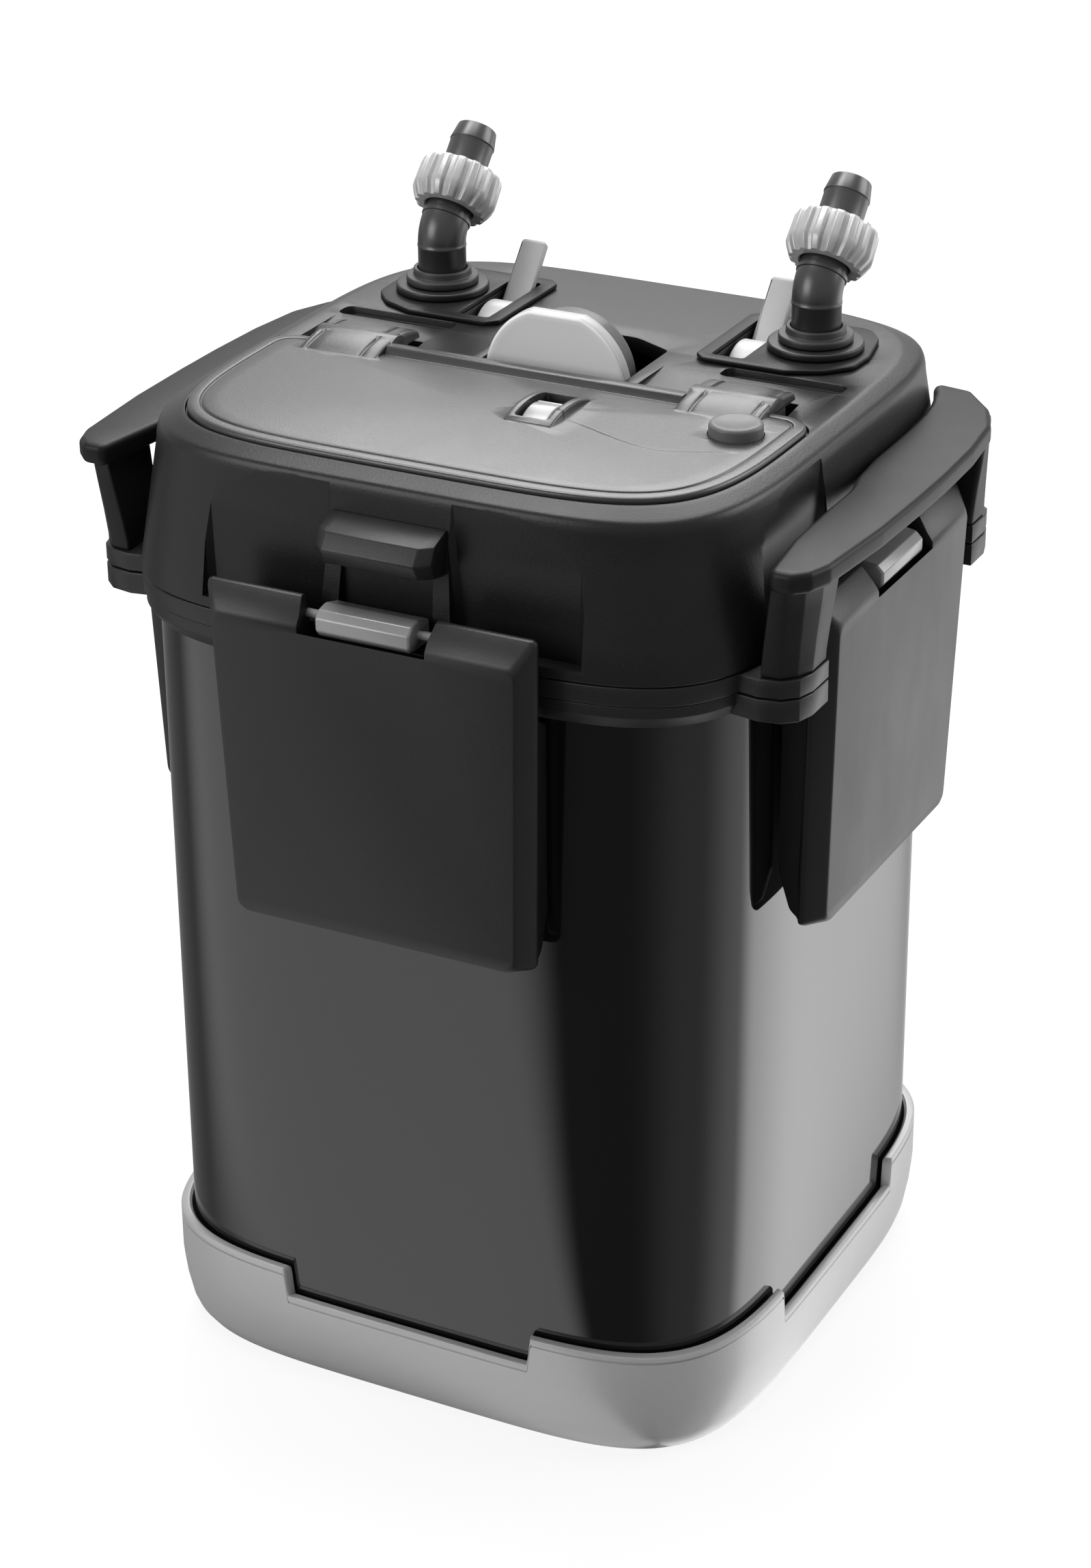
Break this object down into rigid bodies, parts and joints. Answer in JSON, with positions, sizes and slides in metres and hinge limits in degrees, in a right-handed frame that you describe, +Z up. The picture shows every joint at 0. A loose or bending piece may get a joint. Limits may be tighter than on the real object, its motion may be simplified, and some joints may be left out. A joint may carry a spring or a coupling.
{
  "type": "canister filter",
  "caption": "Square pressure canister filter with a clamped motor head, hinged service lid, carry handles and valved hose connectors.",
  "frame": {"origin": "middle of the underside of the soft foot", "axes": "+Z up, -Y towards the front (the side the service lid opens from), +X to the right seen from the front"},
  "size_m": [0.304, 0.2852, 0.4383],
  "materials": {
    "skirt_grey": "soft matt grey foot",
    "canister_gloss": "polished black plastic",
    "head_black": "fine-textured black plastic",
    "trim_grey": "mid-grey satin plastic",
    "dial_grey": "pale grey plastic",
    "button_silver": "silver-grey painted plastic",
    "white_plastic": "white plastic",
    "rubber_black": "black rubber",
    "steel": "steel",
    "copper_winding": "enamelled copper winding",
    "ferrite": "ferrite magnet",
    "foam_blue": "open-cell foam",
    "ceramic_media": "porous ceramic media",
    "floss_white": "fine filter floss"
  },
  "bodies": {
    "filter": {"adapter_in": "head_black", "adapter_out": "head_black", "base_skirt": "skirt_grey", "basket_1": "head_black", "basket_2": "head_black", "basket_3": "head_black", "canister": "canister_gloss", "canister_collar": "head_black", "catch_block_back": "head_black", "catch_block_front": "head_black", "clamp_bar_back": "trim_grey", "clamp_bar_front": "trim_grey", "clamp_bar_left": "trim_grey", "clamp_bar_right": "trim_grey", "connector_plate_in": "head_black", "connector_plate_out": "head_black", "cord_gland": "rubber_black", "dial_housing": "canister_gloss", "grommet_in": "rubber_black", "grommet_out": "rubber_black", "handle_left": "head_black", "handle_right": "head_black", "head_plate": "head_black", "head_seal": "rubber_black", "head_shroud": "head_black", "intake_riser": "head_black", "lid_pin_left": "steel", "lid_pin_right": "steel", "media_ceramic": "ceramic_media", "media_coarse": "foam_blue", "media_fine": "floss_white", "motor_housing": "canister_gloss", "outlet_duct": "head_black", "rotor_well": "head_black", "stator_coil": "copper_winding", "stator_core": "steel", "volute_cover": "head_black"},
    "lid": {"lid": "head_black"},
    "catch_slider": {"catch_slider": "trim_grey"},
    "push_button": {"push_button": "button_silver"},
    "flow_dial": {"flow_dial": "dial_grey"},
    "rotor": {"impeller": "white_plastic", "rotor_magnet": "ferrite", "rotor_shaft": "steel"},
    "clamp_front": {"clamp_front": "head_black"},
    "clamp_right": {"clamp_right": "head_black"},
    "clamp_back": {"clamp_back": "head_black"},
    "clamp_left": {"clamp_left": "head_black"},
    "valve_in": {"valve_lever_in": "trim_grey", "lever_hub_in": "white_plastic", "valve_ball_in": "white_plastic"},
    "elbow_in": {"elbow_in": "head_black", "hose_barb_in": "head_black"},
    "hose_nut_in": {"hose_nut_in": "trim_grey"},
    "valve_out": {"valve_lever_out": "trim_grey", "lever_hub_out": "white_plastic", "valve_ball_out": "white_plastic"},
    "elbow_out": {"elbow_out": "head_black", "hose_barb_out": "head_black"},
    "hose_nut_out": {"hose_nut_out": "trim_grey"}
  },
  "joints": [
    {"name": "clamp_front_pivot", "type": "hinge", "parent": "filter", "child": "clamp_front", "pos_m": [0, -0.1335, 0.328], "axis": [-1, 0, 0], "range_deg": [0, 80]},
    {"name": "clamp_right_pivot", "type": "hinge", "parent": "filter", "child": "clamp_right", "pos_m": [0.1335, 0, 0.328], "axis": [0, -1, 0], "range_deg": [0, 80]},
    {"name": "clamp_back_pivot", "type": "hinge", "parent": "filter", "child": "clamp_back", "pos_m": [0, 0.1335, 0.328], "axis": [1, 0, 0], "range_deg": [0, 80]},
    {"name": "clamp_left_pivot", "type": "hinge", "parent": "filter", "child": "clamp_left", "pos_m": [-0.1335, 0, 0.328], "axis": [0, 1, 0], "range_deg": [0, 80]},
    {"name": "lid_hinge", "type": "hinge", "parent": "filter", "child": "lid", "pos_m": [0, -0.005, 0.3745], "axis": [-1, 0, 0], "range_deg": [0, 70]},
    {"name": "catch_slide", "type": "slide", "parent": "lid", "child": "catch_slider", "axis": [0, 1, 0], "range_m": [0, 0.0035], "stiffness_N_per_m": 200, "springref_m": -0.001},
    {"name": "button_press", "type": "slide", "parent": "lid", "child": "push_button", "axis": [0, 0, -1], "range_m": [0, 0.0025], "stiffness_N_per_m": 400, "springref_m": -0.001},
    {"name": "flow_dial_turn", "type": "hinge", "parent": "filter", "child": "flow_dial", "pos_m": [0, 0.0042, 0.37], "axis": [0, 1, 0], "range_deg": [-60, 60]},
    {"name": "rotor_spin", "type": "hinge", "parent": "filter", "child": "rotor", "pos_m": [0, 0.025, 0.3], "axis": [0, 0, 1], "continuous": true},
    {"name": "valve_in_turn", "type": "hinge", "parent": "filter", "child": "valve_in", "pos_m": [-0.0784, 0.063, 0.3605], "axis": [1, 0, 0], "range_deg": [0, 90]},
    {"name": "elbow_in_swivel", "type": "hinge", "parent": "filter", "child": "elbow_in", "pos_m": [-0.0784, 0.063, 0.39], "axis": [0, 0, 1], "range_deg": [-25, 25]},
    {"name": "hose_nut_in_turn", "type": "hinge", "parent": "elbow_in", "child": "hose_nut_in", "pos_m": [-0.0784, 0.07516, 0.41368], "axis": [0, 0.682, 0.7314], "continuous": true},
    {"name": "valve_out_turn", "type": "hinge", "parent": "filter", "child": "valve_out", "pos_m": [0.0784, 0.063, 0.3605], "axis": [1, 0, 0], "range_deg": [0, 90]},
    {"name": "elbow_out_swivel", "type": "hinge", "parent": "filter", "child": "elbow_out", "pos_m": [0.0784, 0.063, 0.39], "axis": [0, 0, 1], "range_deg": [-25, 25]},
    {"name": "hose_nut_out_turn", "type": "hinge", "parent": "elbow_out", "child": "hose_nut_out", "pos_m": [0.0784, 0.07516, 0.41368], "axis": [0, 0.682, 0.7314], "continuous": true}
  ]
}
